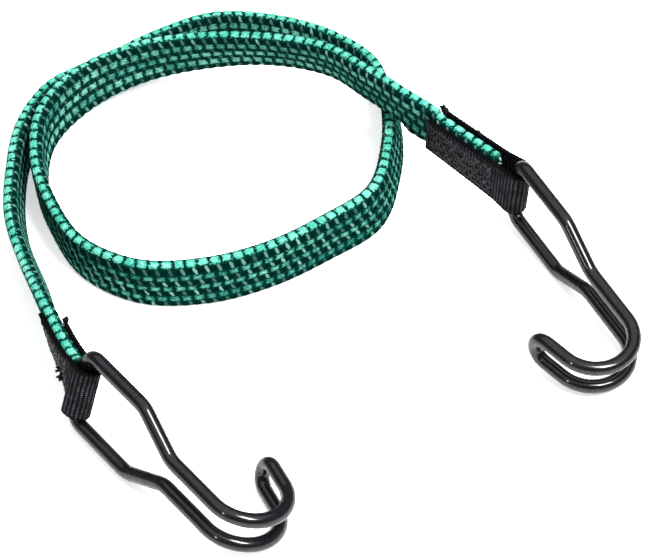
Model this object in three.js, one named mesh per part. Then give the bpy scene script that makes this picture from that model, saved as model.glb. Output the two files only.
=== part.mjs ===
// A flat bungee cord lying loose on a table, in millimetres with Z up. A woven elastic band stands
// on its edge and makes one turn. Each end of it is sewn into a folded webbing loop that holds a
// coated double wire hook. The stretch that leads to the right hook climbs over the turn.
import * as THREE from 'three';

// Elastic band: a woven jacket round a row of rubber strands.
const BAND_WIDTH = 18;
const BAND_THICKNESS = 4;
const BAND_EDGE_RADIUS = 1.5;
const JACKET_WALL = 0.8;
const JACKET_GAP = 0.3;
const STRAND_COUNT = 6;
const STRAND_CLEARANCE = 0.2;

// Webbing folded round the bar of each hook, with one leg on each face of the band.
const WEBBING_WIDTH = 18;
const WEBBING_THICKNESS = 1.1;
const WEBBING_CLEARANCE = 0.3;

// Thread laid in rows across each leg.
const THREAD_DIAMETER = 0.7;
const THREAD_CLEARANCE = 0.3;
const THREAD_ROW_PITCH = 3;
const THREAD_MARGIN = 2.5;

// Double wire hook: a bar, two legs that narrow to a pair of wires, a bend and a closed tip.
const WIRE_DIAMETER = 3.4;
const COAT_CLEARANCE = 0.15;
const COAT_WALL = 0.4;
const FRAME_SPAN = 26;
const FRAME_LEG = 26.2;
const NECK_LENGTH = 15.4;
const TWIN_SPACING = 9.6;
const SHANK_LENGTH = 20;
const BEND_RADIUS = 12.4;
const BEND_TURN = 165;
const TIP_LENGTH = 7.2;
const CORNER_RADIUS = 4.2;
const KINK_RADIUS = 9;
const BUTT_GAP = 0.6;

// The ends. On the bar: its place on the table, the slack of the webbing's fold round it, how far
// the fold is out of square, and how far it has slipped along the bar. Off the bar: where the band
// starts and where its two legs end, the way they lead, how far they climb and lean, and how far and
// how soon they twist. Last come the hook's swing off straight and the side to which it bends.
const LEFT_END = {
  side: 'left',
  bar: [-78.25, -26.04],
  slack: 1.35,
  skew: -0.4,
  slip: -0.9,
  setback: 3.5,
  legs: [26.5, 21.2],
  heading: 111.53,
  pitch: -3.4,
  lean: 16.56,
  twist: -25,
  twistLength: 7,
  swing: 19.2,
  bendSide: 1,
};
const RIGHT_END = {
  side: 'right',
  bar: [54.85, 55.16],
  slack: 0.6,
  skew: 0.3,
  slip: 0.7,
  setback: 7.5,
  legs: [35.2, 33],
  heading: 137.8,
  pitch: 6.2,
  lean: -3.9,
  twist: -13,
  twistLength: 30,
  swing: -17.1,
  bendSide: -1,
};

// The band's way over the table from the left webbing to the right one: x, y, the share it has
// climbed of the height at which it crosses itself, and its lean in degrees.
const CROSSING_GAP = 0.2;
const TABLE_CLEARANCE = 0.1;
const ROUTE = [
  [-91.4, 7.5, 0.28, -12],
  [-96.6, 24.3, 0.07, -17],
  [-103.5, 45.3, 0, -12],
  [-105.5, 64.8, 0, -5],
  [-104, 86.5, 0, -3],
  [-96, 104.8, 0, 0],
  [-79.5, 116.8, 0, 1],
  [-62.5, 129.8, 0, 4],
  [-43.5, 139.3, 0, 7],
  [-23.1, 138.3, 0, 9],
  [-3.5, 130.8, 0, 11],
  [11.4, 117.3, 0, 14],
  [15.9, 97.8, 0, 14],
  [15.4, 76.3, 0, 10],
  [9.9, 55.8, 0, 7],
  [-5.5, 42.3, 0, 4],
  [-23.1, 30.8, 0, 3],
  [-42.5, 23.8, 0, 3],
  [-63.5, 23.3, 0, -1],
  [-81.5, 33.3, 0, -5],
  [-92, 50.8, 0, -6],
  [-98, 69.3, 0.06, -5],
  [-97, 89.3, 0.17, -6],
  [-85, 105.8, 0.3, -5],
  [-66.5, 116.3, 0.4, 5],
  [-46, 119.3, 0.53, 14],
  [-25.1, 117.3, 0.68, 21],
  [-5.5, 109.3, 0.83, 20],
  [7, 96.3, 0.96, 16],
  [20.9, 82.3, 1, 14],
];

// How finely the forms are drawn.
const FREE_STEPS = 52;
const SEWN_STEPS = 6;
const FACE_STEPS = 4;
const LEFT_TAIL_STEPS = 9;
const RIGHT_TAIL_STEPS = 8;

const degrees = THREE.MathUtils.degToRad;
const UP = new THREE.Vector3(0, 0, 1);

// Sizes that follow from the ones above.
const slotWidth = BAND_WIDTH - 2 * JACKET_WALL;
const slotDepth = BAND_THICKNESS - 2 * JACKET_WALL;
const strandPitch = slotWidth / STRAND_COUNT;
const strandDiameter = Math.min(slotDepth, strandPitch) - 2 * STRAND_CLEARANCE;
const boreRadius = WIRE_DIAMETER / 2 + COAT_CLEARANCE;
const coatRadius = boreRadius + COAT_WALL;
const legInner = BAND_THICKNESS / 2 + WEBBING_CLEARANCE;
const legOuter = legInner + WEBBING_THICKNESS;
const crossingHeight = BAND_WIDTH + CROSSING_GAP;

// Materials
function material(color, roughness, metalness) {
  return new THREE.MeshStandardMaterial({ color, roughness, metalness });
}

function part(name, geometry, look) {
  const mesh = new THREE.Mesh(geometry, material(...look));
  mesh.name = name;
  return mesh;
}

const WOVEN_GREEN = ['#2f8f74', 0.85, 0];
const PALE_RUBBER = ['#b9a98a', 0.8, 0];
const BLACK_WEBBING = ['#17181a', 0.9, 0];
const BLACK_THREAD = ['#0d0e10', 0.8, 0];
const BARE_STEEL = ['#9a9da0', 0.35, 1];
const BLACK_VINYL = ['#0b0b0d', 0.25, 0];

// A path given as stations, each with its point, its direction and the two axes of its section.
class StationPath extends THREE.Curve {
  constructor(stations) {
    super();
    this.stations = stations;
  }

  getPoint(t) {
    return this.stations[Math.round(t * (this.stations.length - 1))].point.clone();
  }

  getPointAt(t) {
    return this.getPoint(t);
  }

  computeFrenetFrames() {
    return {
      tangents: this.stations.map((s) => s.tangent),
      normals: this.stations.map((s) => s.depth),
      binormals: this.stations.map((s) => s.across),
    };
  }
}

function station(point, tangent, across) {
  const depth = new THREE.Vector3().crossVectors(across, tangent).normalize();
  return { point, tangent, across, depth };
}

function sweep(shape, stations) {
  return new THREE.ExtrudeGeometry(shape, {
    steps: stations.length - 1,
    extrudePath: new StationPath(stations),
  });
}

// Stations along a wire or thread, whose section is carried along without turning.
function wireStations(points, firstAcross) {
  const last = points.length - 1;
  const tangents = points.map((_, i) => {
    const ahead = points[Math.min(i + 1, last)];
    const behind = points[Math.max(i - 1, 0)];
    return ahead.clone().sub(behind).normalize();
  });
  const across = firstAcross.clone();
  return points.map((point, i) => {
    if (i > 0) {
      across.applyQuaternion(new THREE.Quaternion().setFromUnitVectors(tangents[i - 1], tangents[i]));
    }
    return station(point, tangents[i], across.clone());
  });
}

// Section outlines
function circle(radius, sides) {
  const points = [];
  for (let i = 0; i < sides; i += 1) {
    const angle = (2 * Math.PI * i) / sides;
    points.push(new THREE.Vector2(radius * Math.cos(angle), radius * Math.sin(angle)));
  }
  return points;
}

function roundedRectangle(depth, width, radius, cornerSteps) {
  const points = [];
  for (let corner = 0; corner < 4; corner += 1) {
    const cx = (corner === 0 || corner === 3 ? 1 : -1) * (depth / 2 - radius);
    const cy = (corner < 2 ? 1 : -1) * (width / 2 - radius);
    for (let i = 0; i <= cornerSteps; i += 1) {
      const angle = (Math.PI / 2) * (corner + i / cornerSteps);
      points.push(new THREE.Vector2(cx + radius * Math.cos(angle), cy + radius * Math.sin(angle)));
    }
  }
  return points;
}

function rectangle(depth, width) {
  return [[1, 1], [-1, 1], [-1, -1], [1, -1]].map(
    ([x, y]) => new THREE.Vector2((x * depth) / 2, (y * width) / 2),
  );
}

// Cuts the long edges of an outline, so that a face that twists is drawn closely.
function cutLongEdges(points, longest) {
  return points.flatMap((point, i) => {
    const next = points[(i + 1) % points.length];
    const pieces = Math.max(1, Math.ceil(point.distanceTo(next) / longest));
    return Array.from({ length: pieces }, (_, k) => point.clone().lerp(next, k / pieces));
  });
}

function shapeOf(outline, hole) {
  const shape = new THREE.Shape(outline);
  if (hole) {
    shape.holes.push(new THREE.Path(hole));
  }
  return shape;
}

// Hook: x runs from the bar along the shank, z along the bar, y the way the bend turns.
function filleted(corners, radii, steps) {
  const points = [corners[0]];
  for (let i = 1; i < corners.length - 1; i += 1) {
    const back = corners[i - 1].clone().sub(corners[i]).normalize();
    const on = corners[i + 1].clone().sub(corners[i]).normalize();
    const half = Math.acos(THREE.MathUtils.clamp(back.dot(on), -1, 1)) / 2;
    const radius = radii[i - 1];
    const middle = back.clone().add(on).normalize();
    const centre = corners[i].clone().addScaledVector(middle, radius / Math.sin(half));
    const spread = Math.PI / 2 - half;
    const outward = middle.clone().negate();
    const turn = Math.sign(back.cross(on));
    for (let k = 0; k <= steps; k += 1) {
      const angle = turn * spread * (1 - (2 * k) / steps);
      points.push(outward.clone().rotateAround(new THREE.Vector2(), angle).multiplyScalar(radius).add(centre));
    }
  }
  points.push(corners[corners.length - 1]);
  return points;
}

function hookPoints(bendSide) {
  const twin = TWIN_SPACING / 2;
  const span = FRAME_SPAN / 2;
  const neckEnd = FRAME_LEG + NECK_LENGTH;
  const shankEnd = neckEnd + SHANK_LENGTH;
  const turn = degrees(BEND_TURN);
  const frame = filleted(
    [
      new THREE.Vector2(0, BUTT_GAP / 2),
      new THREE.Vector2(0, span),
      new THREE.Vector2(FRAME_LEG, span),
      new THREE.Vector2(neckEnd, twin),
      new THREE.Vector2(shankEnd, twin),
    ],
    [CORNER_RADIUS, KINK_RADIUS, KINK_RADIUS],
    4,
  );
  const half = frame.map((p) => new THREE.Vector3(p.x, 0, p.y));
  const bendSteps = 10;
  for (let i = 1; i <= bendSteps; i += 1) {
    const angle = (turn * i) / bendSteps;
    const x = shankEnd + BEND_RADIUS * Math.sin(angle);
    half.push(new THREE.Vector3(x, bendSide * BEND_RADIUS * (1 - Math.cos(angle)), twin));
  }
  const tipWay = new THREE.Vector3(Math.cos(turn), bendSide * Math.sin(turn), 0);
  const tipFoot = half[half.length - 1].clone().setZ(0).addScaledVector(tipWay, TIP_LENGTH);
  const tipSteps = 4;
  for (let i = 0; i <= tipSteps; i += 1) {
    const angle = ((Math.PI / 2) * i) / tipSteps;
    const point = tipFoot.clone().addScaledVector(tipWay, twin * Math.sin(angle));
    half.push(point.setZ(twin * Math.cos(angle)));
  }
  const mirrored = half.slice(0, -1).reverse().map((p) => new THREE.Vector3(p.x, p.y, -p.z));
  return [...half, ...mirrored];
}

function hookGroup(end) {
  const stations = wireStations(hookPoints(end.bendSide), new THREE.Vector3(0, 1, 0));
  const group = new THREE.Group();
  group.name = `${end.side}_hook`;
  group.rotation.z = Math.PI + degrees(end.swing);
  const coat = shapeOf(circle(coatRadius, 10), circle(boreRadius, 8));
  group.add(part(`${end.side}_hook_wire`, sweep(shapeOf(circle(WIRE_DIAMETER / 2, 8)), stations), BARE_STEEL));
  group.add(part(`${end.side}_hook_coat`, sweep(coat, stations), BLACK_VINYL));
  return group;
}

// Webbing end: x runs from the bar along the webbing to the band, z along the bar.
function twistAt(end, x) {
  return x > 0 ? degrees(end.twist) * (1 - Math.exp(-x / end.twistLength)) : 0;
}

// Moves each leg along the bar, as the fold has slipped and is not quite square, and twists the end.
function warp(geometry, end) {
  const position = geometry.getAttribute('position');
  const slope = end.skew / ((legInner + legOuter) / 2);
  for (let i = 0; i < position.count; i += 1) {
    const x = position.getX(i);
    const y = position.getY(i);
    const z = position.getZ(i) + end.slip - slope * y;
    const angle = twistAt(end, x);
    position.setXYZ(i, x, y * Math.cos(angle) - z * Math.sin(angle), y * Math.sin(angle) + z * Math.cos(angle));
  }
  geometry.computeVertexNormals();
  return geometry;
}

function sewnDistances(end, reach) {
  const distances = [];
  for (let i = 0; i <= SEWN_STEPS; i += 1) {
    distances.push(end.setback + ((reach - end.setback) * i) / SEWN_STEPS);
  }
  return distances;
}

function foldLine(end, radius, halfGap) {
  const [upperLeg, lowerLeg] = end.legs;
  const upper = sewnDistances(end, upperLeg).reverse().map((x) => new THREE.Vector2(x, halfGap));
  const lower = sewnDistances(end, lowerLeg).map((x) => new THREE.Vector2(x, -halfGap));
  const arc = [];
  const arcSteps = 10;
  for (let i = 0; i <= arcSteps; i += 1) {
    const angle = Math.PI / 2 + (Math.PI * i) / arcSteps;
    arc.push(new THREE.Vector2(radius * Math.cos(angle), radius * Math.sin(angle)));
  }
  return [...upper, ...arc, ...lower];
}

function webbing(end) {
  const foldRadius = coatRadius + end.slack;
  const outer = foldLine(end, foldRadius + WEBBING_THICKNESS, legOuter);
  const inner = foldLine(end, foldRadius, legInner);
  const geometry = new THREE.ExtrudeGeometry(new THREE.Shape([...outer, ...inner.reverse()]), {
    depth: WEBBING_WIDTH,
    steps: FACE_STEPS,
    bevelEnabled: false,
  });
  geometry.translate(0, 0, -WEBBING_WIDTH / 2);
  return part(`${end.side}_webbing`, warp(geometry, end), BLACK_WEBBING);
}

// One unbroken thread, in rows across a leg that are joined by round turns.
function thread(end, name, face) {
  const turnRadius = THREAD_ROW_PITCH / 2;
  const reach = WEBBING_WIDTH / 2 - THREAD_MARGIN - turnRadius;
  const y = face * (legOuter + THREAD_CLEARANCE + THREAD_DIAMETER / 2);
  const start = end.setback + THREAD_MARGIN;
  const leg = face > 0 ? end.legs[0] : end.legs[1];
  const rows = Math.floor((leg - THREAD_MARGIN - start) / THREAD_ROW_PITCH) + 1;
  const turnSteps = 4;
  const points = [new THREE.Vector3(start, y, -reach)];
  for (let row = 0; row < rows; row += 1) {
    const way = row % 2 === 0 ? 1 : -1;
    const x = start + row * THREAD_ROW_PITCH;
    points.push(new THREE.Vector3(x, y, way * reach));
    for (let i = 1; i <= turnSteps && row < rows - 1; i += 1) {
      const angle = (Math.PI * i) / turnSteps;
      const along = x + turnRadius * (1 - Math.cos(angle));
      points.push(new THREE.Vector3(along, y, way * (reach + turnRadius * Math.sin(angle))));
    }
  }
  const stations = wireStations(points, new THREE.Vector3(0, 1, 0));
  const geometry = sweep(shapeOf(circle(THREAD_DIAMETER / 2, 5)), stations);
  return part(`${end.side}_${name}`, warp(geometry, end), BLACK_THREAD);
}

// The lowest point of a turned group, so that its hook can stand on the table.
function endGroup(end) {
  const group = new THREE.Group();
  group.name = `${end.side}_end`;
  group.rotation.set(degrees(end.lean), -degrees(end.pitch), degrees(end.heading), 'ZYX');
  group.add(hookGroup(end));
  const lowest = new THREE.Box3().setFromObject(group, true).min.z;
  group.position.set(end.bar[0], end.bar[1], -lowest);
  group.add(webbing(end));
  group.add(thread(end, 'needle_thread', 1));
  group.add(thread(end, 'bobbin_thread', -1));
  group.updateMatrixWorld(true);
  return group;
}

// Band
function sewnStations(end, group, way) {
  return sewnDistances(end, Math.max(...end.legs)).map((x) => {
    const angle = twistAt(end, x);
    const upright = new THREE.Vector3(0, -Math.sin(angle), Math.cos(angle));
    const point = new THREE.Vector3(x, 0, 0).addScaledVector(upright, end.slip).applyMatrix4(group.matrixWorld);
    const across = upright.transformDirection(group.matrixWorld);
    const tangent = new THREE.Vector3(way, 0, 0).transformDirection(group.matrixWorld);
    return station(point, tangent, across);
  });
}

// Height of the middle of the leaning band when its lower edge is on the table.
function restHeight(lean) {
  const upright = (BAND_WIDTH / 2 - BAND_EDGE_RADIUS) * Math.cos(lean);
  const sideways = (BAND_THICKNESS / 2 - BAND_EDGE_RADIUS) * Math.abs(Math.sin(lean));
  return upright + sideways + BAND_EDGE_RADIUS + TABLE_CLEARANCE;
}

function leanOf(s) {
  const level = s.tangent.clone().cross(UP).normalize();
  return Math.atan2(s.across.dot(level), s.across.dot(level.clone().cross(s.tangent)));
}

function bandStations(leftGroup, rightGroup) {
  const left = sewnStations(LEFT_END, leftGroup, 1);
  const right = sewnStations(RIGHT_END, rightGroup, -1).reverse();
  const middles = ROUTE.map(([x, y, climb, lean]) => {
    return new THREE.Vector3(x, y, climb * crossingHeight + restHeight(degrees(lean)));
  });
  const before = left.slice(-2);
  const after = right.slice(0, 2);
  const line = new THREE.CatmullRomCurve3([
    ...before.map((s) => s.point),
    ...middles,
    ...after.map((s) => s.point),
  ]);
  const leans = new THREE.SplineCurve(
    [
      ...before.map(leanOf),
      ...ROUTE.map(([, , , lean]) => degrees(lean)),
      ...after.map(leanOf),
    ].map((lean, i) => new THREE.Vector2(i, lean)),
  );
  line.arcLengthDivisions = 1000;
  const spans = line.points.length - 1;
  const lengths = line.getLengths();
  const total = lengths[lengths.length - 1];
  const from = lengths[Math.round(lengths.length / spans)] / total;
  const to = lengths[Math.round((lengths.length * (spans - 1)) / spans)] / total;
  const free = [];
  for (let i = 1; i < FREE_STEPS; i += 1) {
    const t = line.getUtoTmapping(from + ((to - from) * i) / FREE_STEPS);
    const tangent = line.getTangent(t);
    const level = tangent.clone().cross(UP).normalize();
    const upright = level.clone().cross(tangent);
    const lean = leans.getPoint(t).y;
    const across = upright.multiplyScalar(Math.cos(lean)).addScaledVector(level, Math.sin(lean));
    free.push(station(line.getPoint(t), tangent, across));
  }
  return [...left, ...free, ...right];
}

function shifted(s, along) {
  return station(s.point.clone().addScaledVector(s.tangent, along), s.tangent, s.across);
}

// The band's own pieces run between the stations of two cuts, with a thin gap at each cut.
function cutBetween(stations, from, to) {
  const piece = stations.slice(from, to + 1);
  if (from > 0) {
    piece[0] = shifted(piece[0], JACKET_GAP / 2);
  }
  if (to < stations.length - 1) {
    piece[piece.length - 1] = shifted(piece[piece.length - 1], -JACKET_GAP / 2);
  }
  return piece;
}

function jacket(name, stations) {
  const longest = BAND_WIDTH / FACE_STEPS;
  const outline = cutLongEdges(roundedRectangle(BAND_THICKNESS, BAND_WIDTH, BAND_EDGE_RADIUS, 2), longest);
  const slot = cutLongEdges(rectangle(slotDepth, slotWidth), longest);
  return part(name, sweep(shapeOf(outline, slot), stations), WOVEN_GREEN);
}

function strand(index, stations) {
  const offset = (index + 0.5) * strandPitch - slotWidth / 2;
  const outline = circle(strandDiameter / 2, 6).map((p) => p.add(new THREE.Vector2(0, offset)));
  return part(`rubber_strand_${index + 1}`, sweep(shapeOf(outline), stations), PALE_RUBBER);
}

// Least gap between two stretches of the band that lie more than a short way apart along it.
function leastGap(stations) {
  const lanes = 9;
  const apart = 8;
  const rows = stations.map((s) => {
    const row = [];
    for (let i = 0; i < lanes; i += 1) {
      const off = ((BAND_WIDTH - BAND_THICKNESS) * (i / (lanes - 1) - 0.5));
      row.push(s.point.clone().addScaledVector(s.across, off));
    }
    return row;
  });
  const fine = [];
  for (let i = 0; i + 1 < rows.length; i += 1) {
    for (let k = 0; k < 4; k += 1) {
      fine.push({ at: i, row: rows[i].map((p, lane) => p.clone().lerp(rows[i + 1][lane], k / 4)) });
    }
  }
  let least = Infinity;
  fine.forEach((a, i) => {
    fine.slice(i + 1).filter((b) => b.at - a.at >= apart).forEach((b) => {
      a.row.forEach((p) => b.row.forEach((q) => {
        least = Math.min(least, p.distanceTo(q) - BAND_THICKNESS);
      }));
    });
  });
  return least;
}

function bandLength(stations) {
  return stations.slice(1).reduce((sum, s, i) => sum + s.point.distanceTo(stations[i].point), 0);
}

// Assembly
const bungeeCord = new THREE.Group();
bungeeCord.name = 'bungee_cord';
const leftGroup = endGroup(LEFT_END);
const rightGroup = endGroup(RIGHT_END);
bungeeCord.add(leftGroup, rightGroup);

const stations = bandStations(leftGroup, rightGroup);
const leftCut = SEWN_STEPS + LEFT_TAIL_STEPS;
const rightCut = stations.length - 1 - SEWN_STEPS - RIGHT_TAIL_STEPS;
bungeeCord.add(jacket('band_left_tail', cutBetween(stations, 0, leftCut)));
bungeeCord.add(jacket('band_loop', cutBetween(stations, leftCut, rightCut)));
bungeeCord.add(jacket('band_right_tail', cutBetween(stations, rightCut, stations.length - 1)));
for (let i = 0; i < STRAND_COUNT; i += 1) {
  bungeeCord.add(strand(i, stations));
}
[leftGroup, rightGroup].forEach((group) => {
  console.log(`${group.name} bar middle ${group.position.toArray().map((v) => v.toFixed(2)).join(', ')} mm`);
});
console.log(`band length ${bandLength(stations).toFixed(1)} mm`);
console.log(`least gap of the band to itself ${leastGap(stations).toFixed(2)} mm`);

export default bungeeCord;
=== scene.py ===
# %% [markdown]
# # A flat bungee cord, step by step
# The imported solids come first, because every piece below is placed in their frame. Each piece that we
# make, except the band's two end stretches, rides on one of the bodies that move.

# %% load the frame
import math
import bpy
import numpy as np
from mathutils import Matrix, Vector


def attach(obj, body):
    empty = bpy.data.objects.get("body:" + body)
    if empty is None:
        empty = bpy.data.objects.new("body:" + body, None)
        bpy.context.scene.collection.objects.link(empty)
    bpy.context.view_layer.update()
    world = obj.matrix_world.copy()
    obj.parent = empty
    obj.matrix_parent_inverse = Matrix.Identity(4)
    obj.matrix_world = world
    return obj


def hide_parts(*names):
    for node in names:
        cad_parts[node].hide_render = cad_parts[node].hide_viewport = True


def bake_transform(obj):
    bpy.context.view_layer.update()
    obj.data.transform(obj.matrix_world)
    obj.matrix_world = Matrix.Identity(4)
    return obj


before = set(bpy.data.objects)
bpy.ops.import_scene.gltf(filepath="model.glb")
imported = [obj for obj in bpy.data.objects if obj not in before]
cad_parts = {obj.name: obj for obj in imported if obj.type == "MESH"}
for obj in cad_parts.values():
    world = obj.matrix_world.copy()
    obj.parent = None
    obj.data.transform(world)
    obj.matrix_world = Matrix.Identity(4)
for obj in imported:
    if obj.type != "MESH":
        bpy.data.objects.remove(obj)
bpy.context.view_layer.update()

MM = 0.001

# %% [markdown]
# ## The camera and the room
# The picture is taken with a long lens, a little less than half way down from level. A long lens is
# set by its distance and its focal length, so both are given as numbers. The room is a pale table top
# under a broad dim box of light, which gives the round hooks their soft sheen. A small bright box in
# front makes the crisp streaks where the wire slopes down.

# %% camera
VIEW_FROM = Vector((-6.05, -562.20, 638.02)) * MM
VIEW_AT = Vector((-6.05, 32.76, 0)) * MM
LENS_LENGTH = 152.96

bpy.ops.object.camera_add(location=VIEW_FROM)
camera = bpy.context.object
camera.rotation_euler = (VIEW_AT - VIEW_FROM).to_track_quat("-Z", "Y").to_euler()
camera.data.lens = LENS_LENGTH
camera.data.sensor_width = 36
camera.data.clip_start = 0.01
bpy.context.scene.camera = camera
print("camera", round((VIEW_AT - VIEW_FROM).length, 3), "m from the middle of the picture")

# %% table top and lights
FLOOR_SIZE = 6.0
LIGHT_AIM = Vector((0, 0.05, 0))
ROOM_STRENGTH = 0.24

bpy.ops.mesh.primitive_plane_add(size=FLOOR_SIZE)
floor = bpy.context.object
floor.name = "table_top"


def soft_light(name, place, size, power):
    bpy.ops.object.light_add(type="AREA", location=place)
    lamp = bpy.context.object
    lamp.name = name
    lamp.rotation_euler = (LIGHT_AIM - Vector(place)).to_track_quat("-Z", "Y").to_euler()
    lamp.data.shape = "RECTANGLE"
    lamp.data.size, lamp.data.size_y = size
    lamp.data.energy = power


soft_light("overhead_box", (0, 0.2, 2.2), (4.0, 3.6), 56)
soft_light("key_box", (0.44, -0.36, 1.16), (0.42, 0.56), 36)
soft_light("side_strip", (-0.75, -0.9, 0.75), (0.08, 0.4), 2.6)

world = bpy.context.scene.world or bpy.data.worlds.new("room")
bpy.context.scene.world = world
world.use_nodes = True
room = world.node_tree.nodes["Background"]
room.inputs["Color"].default_value = (1.0, 1.0, 1.0, 1.0)
room.inputs["Strength"].default_value = ROOM_STRENGTH
bpy.context.scene.view_settings.view_transform = "Standard"
print("three soft lights over a pale table top")

# %% [markdown]
# ## Shader sums
# A finish is often a small formula. Instead of placing Math nodes one by one, this class wraps a
# socket, so that an ordinary Python expression adds the nodes. Any other node comes from `node`.

# %% socket class
class Flow:
    """A socket of a node tree that takes part in Python expressions."""

    def __init__(self, tree, socket=None):
        self.tree, self.socket = tree, socket

    def node(self, kind, settings=(), sockets=(), output=0):
        made = self.tree.nodes.new(kind)
        for key, value in dict(settings).items():
            setattr(made, key, value)
        for key, value in dict(sockets).items():
            if isinstance(value, Flow):
                self.tree.links.new(value.socket, made.inputs[key])
            else:
                made.inputs[key].default_value = value
        return Flow(self.tree, made.outputs[output])

    def sum(self, operation, *values):
        return self.node("ShaderNodeMath", {"operation": operation}, dict(enumerate(values)))

    def __add__(self, other):
        return self.sum("ADD", self, other)

    def __radd__(self, other):
        return self.sum("ADD", other, self)

    def __sub__(self, other):
        return self.sum("SUBTRACT", self, other)

    def __rsub__(self, other):
        return self.sum("SUBTRACT", other, self)

    def __mul__(self, other):
        return self.sum("MULTIPLY", self, other)

    def __rmul__(self, other):
        return self.sum("MULTIPLY", other, self)

    def __mod__(self, other):
        return self.sum("FLOORED_MODULO", self, other)

    def __abs__(self):
        return self.sum("ABSOLUTE", self)

    def floor(self):
        return self.sum("FLOOR", self)

    def sine(self):
        return self.sum("SINE", self)

    def fade(self, low, high, start=0.0, end=1.0):
        """Runs smoothly from start to end while this value goes from low to high."""
        return self.node(
            "ShaderNodeMapRange",
            {"interpolation_type": "SMOOTHSTEP"},
            {"Value": self, "From Min": low, "From Max": high, "To Min": start, "To Max": end},
        )

    def tint(self, first, second):
        """A colour between two others, with this value as the share of the second."""
        return self.node(
            "ShaderNodeMix",
            {"data_type": "RGBA"},
            {"Factor": self, 6: first, 7: second},
            output=2,
        )


def colour(red, green, blue):
    """The linear colour of a screen colour given from 0 to 255."""
    def linear(value):
        value /= 255
        return value / 12.92 if value <= 0.04045 else ((value + 0.055) / 1.055) ** 2.4
    return (linear(red), linear(green), linear(blue), 1.0)


def finish(name, settings):
    """A material whose main shader has these constant sockets, and the start of its node tree."""
    made = bpy.data.materials.new(name)
    made.use_nodes = True
    shader = made.node_tree.nodes["Principled BSDF"]
    for key, value in settings.items():
        shader.inputs[key].default_value = value
    return made, Flow(made.node_tree), shader.inputs


def feed(start, inputs, links):
    for key, value in links.items():
        start.tree.links.new(value.socket, inputs[key])


def grain(start, scale, detail=2.0):
    """Noise in the piece's own space, with so many cells in a metre."""
    spot = start.node("ShaderNodeTexCoord", output="Object")
    noise = {"Vector": spot, "Scale": scale, "Detail": detail}
    return start.node("ShaderNodeTexNoise", (), noise, output="Fac")


def bumped(start, strength, depth, height):
    settings = {"Strength": strength, "Distance": depth, "Height": height}
    return start.node("ShaderNodeBump", (), settings, output="Normal")


print("shader sums are ready")

# %% [markdown]
# ## The table's finish
# A pale, nearly white surface with a hint of mottling, so that it is plain but not a flat colour. It is
# lit a little from below, like the light tables that goods are pictured on, so shadows stay faint.

# %% table finish
table_finish, start, inputs = finish("pale_table", {
    "Roughness": 0.6, "Specular IOR Level": 0.2,
    "Emission Color": (1.0, 1.0, 1.0, 1.0), "Emission Strength": 0.5})
mottle = grain(start, 9.0)
feed(start, inputs, {
    "Base Color": mottle.tint(colour(247, 247, 247), colour(251, 251, 251)),
})
floor.data.materials.append(table_finish)
print("table finish")

# %% [markdown]
# ## Where the band runs
# The band lies on its edge, makes one turn and climbs over itself. Its route repeats the points of
# the solid, in millimetres: x, y, how much of the crossing's height it has climbed, and its lean. A
# smooth curve through them, with an upright direction at each point, is all that a flat cord needs.

# %% sizes of the ends and the route
BAND_WIDTH, BAND_THICKNESS, BAND_EDGE = 18.0, 4.0, 1.5
CROSSING_RISE, TABLE_GAP = 18.2, 0.1
LEFT = dict(side="left", bar=(-78.25, -26.04, 16.48), legs=(26.5, 21.2), setback=3.5,
            slack=1.35, skew=-0.4, slip=-0.9, heading=111.53, pitch=-3.4, lean=16.56,
            twist=-25.0, ease=7.0, swing=19.2, bend=1)
RIGHT = dict(side="right", bar=(54.85, 55.16, 18.16), legs=(35.2, 33.0), setback=7.5,
             slack=0.6, skew=0.3, slip=0.7, heading=137.8, pitch=6.2, lean=-3.9,
             twist=-13.0, ease=30.0, swing=-17.1, bend=-1)
ROUTE = [
    (-91.4, 7.5, 0.28, -12), (-96.6, 24.3, 0.07, -17), (-103.5, 45.3, 0, -12), (-105.5, 64.8, 0, -5),
    (-104, 86.5, 0, -3), (-96, 104.8, 0, 0), (-79.5, 116.8, 0, 1), (-62.5, 129.8, 0, 4),
    (-43.5, 139.3, 0, 7), (-23.1, 138.3, 0, 9), (-3.5, 130.8, 0, 11), (11.4, 117.3, 0, 14),
    (15.9, 97.8, 0, 14), (15.4, 76.3, 0, 10), (9.9, 55.8, 0, 7), (-5.5, 42.3, 0, 4),
    (-23.1, 30.8, 0, 3), (-42.5, 23.8, 0, 3), (-63.5, 23.3, 0, -1), (-81.5, 33.3, 0, -5),
    (-92, 50.8, 0, -6), (-98, 69.3, 0.06, -5), (-97, 89.3, 0.17, -6), (-85, 105.8, 0.3, -5),
    (-66.5, 116.3, 0.4, 5), (-46, 119.3, 0.53, 14), (-25.1, 117.3, 0.68, 21), (-5.5, 109.3, 0.83, 20),
    (7, 96.3, 0.96, 16), (20.9, 82.3, 1, 14),
]


def end_frame(end):
    """The webbing's own axes in the room: along it, through it and along the hook's bar."""
    turn = (Matrix.Rotation(math.radians(end["heading"]), 4, "Z")
            @ Matrix.Rotation(-math.radians(end["pitch"]), 4, "Y")
            @ Matrix.Rotation(math.radians(end["lean"]), 4, "X"))
    return Matrix.Translation(end["bar"]) @ turn


def in_room(end, points):
    place = np.array(end_frame(end))
    return np.asarray(points) @ place[:3, :3].T + place[:3, 3]


def twist_at(end, x):
    return math.radians(end["twist"]) * (1 - np.exp(-np.maximum(x, 0) / end["ease"]))


print("route of", len(ROUTE), "points between the two sewn ends")

# %% the curve with its upright direction
SEWN_STEPS = 6
SPAN_STEPS = 40
UP = np.array([0.0, 0.0, 1.0])


def unit(rows):
    return rows / np.linalg.norm(rows, axis=-1, keepdims=True)


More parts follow.
